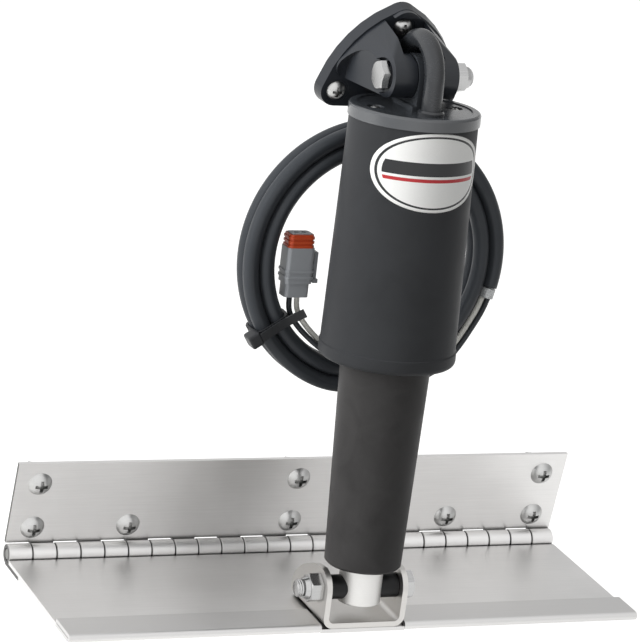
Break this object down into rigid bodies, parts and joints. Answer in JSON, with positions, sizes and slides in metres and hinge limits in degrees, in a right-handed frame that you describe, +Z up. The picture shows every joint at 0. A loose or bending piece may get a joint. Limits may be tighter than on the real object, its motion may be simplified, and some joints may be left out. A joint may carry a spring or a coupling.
{
  "type": "boat trim tab",
  "caption": "Boat trim tab: hinged stainless plate on a transom flange, driven by an electric screw actuator between a U bracket and a moulded transom bracket, with coiled cable.",
  "frame": {"origin": "on the transom plane, at the middle of the four corner screws of the flange", "axes": "+X along the hinge, +Y into the transom, +Z up the transom"},
  "size_m": [0.3048, 0.1342, 0.311],
  "materials": {
    "satin_stainless": "rolled stainless sheet, satin",
    "bright_stainless": "turned or formed stainless, polished",
    "black_shell": "moulded, fine satin texture",
    "cap_shell": "moulded, smoother satin",
    "bracket_nylon": "moulded glass-filled nylon",
    "black_rubber": "moulded rubber",
    "cable_jacket": "extruded cable jacket",
    "white_wire": "extruded insulation",
    "grey_connector": "moulded",
    "orange_seal": "moulded silicone",
    "end_band": "braided band",
    "drive_bronze": "machined",
    "bush_plastic": "machined bearing plastic",
    "black_bush": "moulded bearing plastic",
    "motor_metal": "plated steel can",
    "tie_nylon": "moulded nylon"
  },
  "bodies": {
    "flange": {"flange_leaf": "satin_stainless", "hinge_pin": "bright_stainless", "flange_screws": "bright_stainless"},
    "tab": {"tab_plate": "satin_stainless", "tab_hinge_leaf": "satin_stainless", "ram_bracket": "bright_stainless", "lower_bolt": "bright_stainless", "lower_nut": "bright_stainless"},
    "ram": {"ram_tube": "bright_stainless", "ram_bushings": "black_bush", "drive_nut": "drive_bronze"},
    "housing": {"lower_housing": "black_shell", "upper_housing": "black_shell", "top_cap": "cap_shell", "cap_screws": "bright_stainless", "housing_oring": "black_rubber", "wiper_seal": "black_rubber", "ram_guide": "bush_plastic", "thrust_bearing": "bright_stainless", "gearbox": "motor_metal", "motor": "motor_metal", "motor_pad": "black_rubber", "pivot_sleeve": "black_bush", "loop_grommet": "black_rubber", "cable_loop": "black_rubber"},
    "screw": {"lead_screw": "bright_stainless"},
    "bracket": {"upper_bracket": "bracket_nylon", "upper_bolt": "bright_stainless", "upper_nut": "bright_stainless", "bracket_screws": "bright_stainless", "cable_gland": "black_rubber", "cable_lead": "cable_jacket", "cable_coil": "cable_jacket", "cable_tie": "tie_nylon", "cable_end_sleeve": "end_band", "wire_white": "white_wire", "wire_black": "cable_jacket", "connector_housing": "grey_connector", "connector_latch": "grey_connector", "connector_seal": "orange_seal"}
  },
  "joints": [
    {"name": "tab_hinge", "type": "hinge", "parent": "flange", "child": "tab", "pos_m": [0, -0.00522, -0.0262], "axis": [1, 0, 0], "range_deg": [0, 35.73]},
    {"name": "lower_pivot", "type": "hinge", "parent": "tab", "child": "ram", "pos_m": [0, -0.09332, 0.00719], "axis": [1, 0, 0], "range_deg": [-33.8, 0]},
    {"name": "ram_slide", "type": "slide", "parent": "ram", "child": "housing", "axis": [0, 0.2337, 0.9723], "range_m": [0, 0.057]},
    {"name": "upper_pivot", "type": "hinge", "parent": "housing", "child": "bracket", "pos_m": [0, -0.0335, 0.2561], "axis": [1, 0, 0], "range_deg": [-1.97, 0], "deforming": ["cable_loop"]},
    {"name": "lead_screw_turn", "type": "hinge", "parent": "housing", "child": "screw", "pos_m": [0, -0.09332, 0.00719], "axis": [0, 0.2337, 0.9723], "range_deg": [0, 3420]}
  ],
  "couplings": [
    {"joint": "lower_pivot", "follows": "tab_hinge", "ratio": -0.94541},
    {"joint": "ram_slide", "follows": "tab_hinge", "m_per_rad": 0.09138},
    {"joint": "upper_pivot", "follows": "tab_hinge", "ratio": -0.05459},
    {"joint": "lead_screw_turn", "follows": "tab_hinge", "ratio": 95.702}
  ]
}
